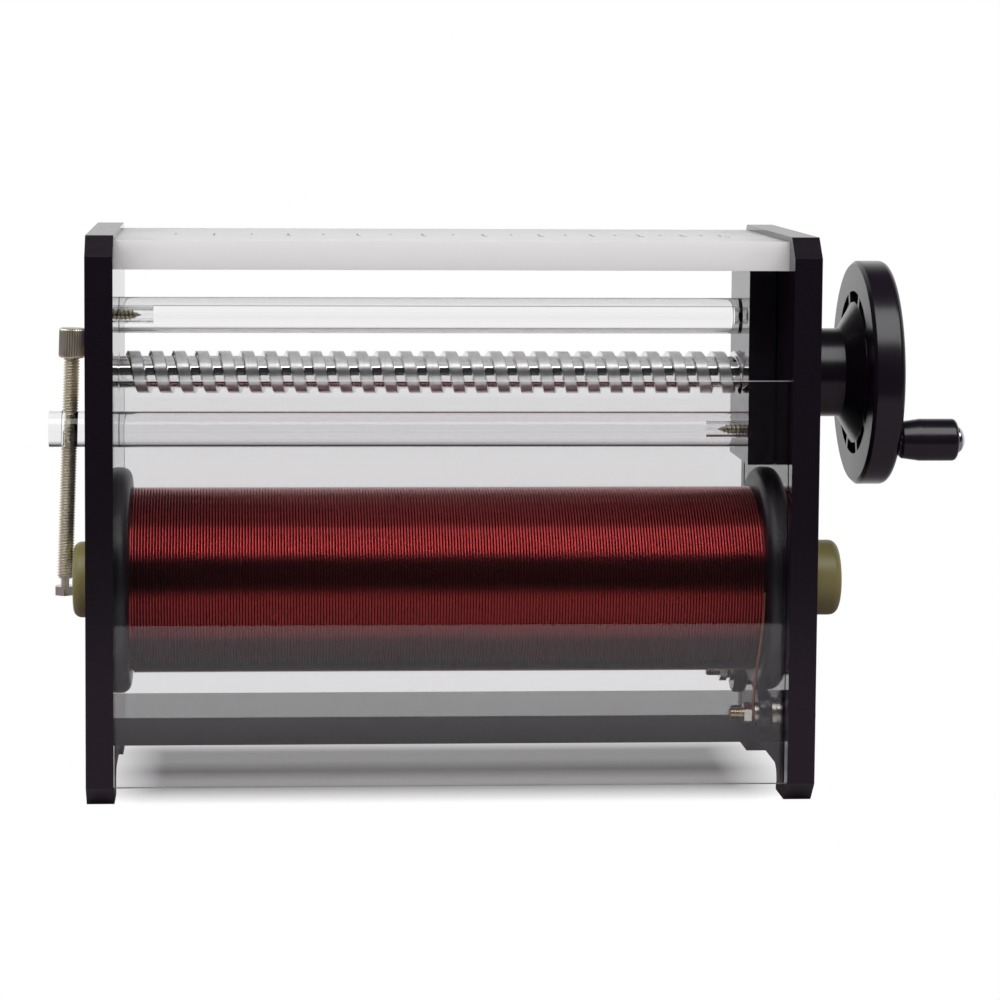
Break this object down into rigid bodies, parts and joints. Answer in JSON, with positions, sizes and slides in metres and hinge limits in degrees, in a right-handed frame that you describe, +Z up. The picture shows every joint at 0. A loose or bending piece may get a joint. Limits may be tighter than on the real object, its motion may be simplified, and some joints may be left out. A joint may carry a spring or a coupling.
{
  "type": "variable inductor",
  "caption": "Variable inductor in an open black frame: a handwheel turns a lead screw, and the carriage slides a powder-ring core through a long copper coil.",
  "frame": {"origin": "on the table under the middle of the whole object, with the core and carriage at the handwheel end", "axes": "+X along the lead screw towards the handwheel, +Y from the front panel to the back panel, +Z up from the table"},
  "size_m": [0.3214, 0.11, 0.195],
  "materials": {
    "black_sheet": "polished black acrylic sheet",
    "frosted_sheet": "frosted clear acrylic sheet with a printed scale",
    "clear_sheet": "clear acrylic sheet",
    "clear_rod": "clear acrylic rod",
    "plated_screw": "yellowish plated steel",
    "former_black": "moulded black plastic",
    "enamelled_wire": "copper wire with dark red enamel",
    "lead_wire": "copper wire with brown enamel",
    "bronze": "turned bearing bronze",
    "terminal_black": "moulded black plastic",
    "terminal_brass": "turned brass",
    "plated_steel": "plated steel",
    "turned_steel": "bright turned steel",
    "wheel_black": "polished black moulding",
    "dark_steel": "blackened steel",
    "handle_chrome": "polished chrome",
    "nickel_steel": "nickel-plated steel",
    "core_support": "plain plastic rod",
    "core_coating": "olive coating on pressed iron powder"
  },
  "bodies": {
    "frame": {"left_plate": "black_sheet", "right_plate": "black_sheet", "top_plate": "frosted_sheet", "base_bar": "black_sheet", "front_panel": "clear_sheet", "back_panel": "clear_sheet", "guide_rod": "clear_rod", "guide_rod_screws": "plated_screw", "top_plate_screws": "plated_screw", "base_bar_screws": "plated_screw", "coil_tube": "former_black", "left_flange": "former_black", "right_flange": "former_black", "winding": "enamelled_wire", "front_lead": "lead_wire", "back_lead": "lead_wire", "left_bearing": "bronze", "right_bearing": "bronze", "terminal_collars": "terminal_black", "terminal_sockets": "terminal_brass", "terminal_spacers": "plated_steel", "terminal_bushes": "terminal_black", "terminal_washers": "plated_steel", "terminal_nuts": "plated_steel"},
    "drive": {"lead_screw": "turned_steel", "handwheel": "wheel_black", "wheel_grub_screw": "dark_steel", "handle_spindle": "handle_chrome"},
    "grip": {"handle_grip": "wheel_black"},
    "carriage": {"carriage_plate": "black_sheet", "lead_nut": "bronze", "push_rod": "clear_rod", "push_rod_screw": "plated_screw", "adjusting_screw": "nickel_steel", "adjusting_knob": "nickel_steel", "link_nut": "plated_steel", "link_stud": "terminal_brass", "core_rod": "core_support", "core_rings": "core_coating"}
  },
  "joints": [
    {"name": "wheel_turn", "type": "hinge", "parent": "frame", "child": "drive", "pos_m": [0, 0, 0.1443], "axis": [1, 0, 0], "range_deg": [0, 9895]},
    {"name": "carriage_slide", "type": "slide", "parent": "frame", "child": "carriage", "axis": [-1, 0, 0], "range_m": [0, 0.22]},
    {"name": "grip_spin", "type": "hinge", "parent": "drive", "child": "grip", "pos_m": [0.1485, -0.02757, 0.12307], "axis": [1, 0, 0], "continuous": true}
  ],
  "couplings": [
    {"joint": "carriage_slide", "follows": "wheel_turn", "m_per_rad": 0.0012732}
  ]
}
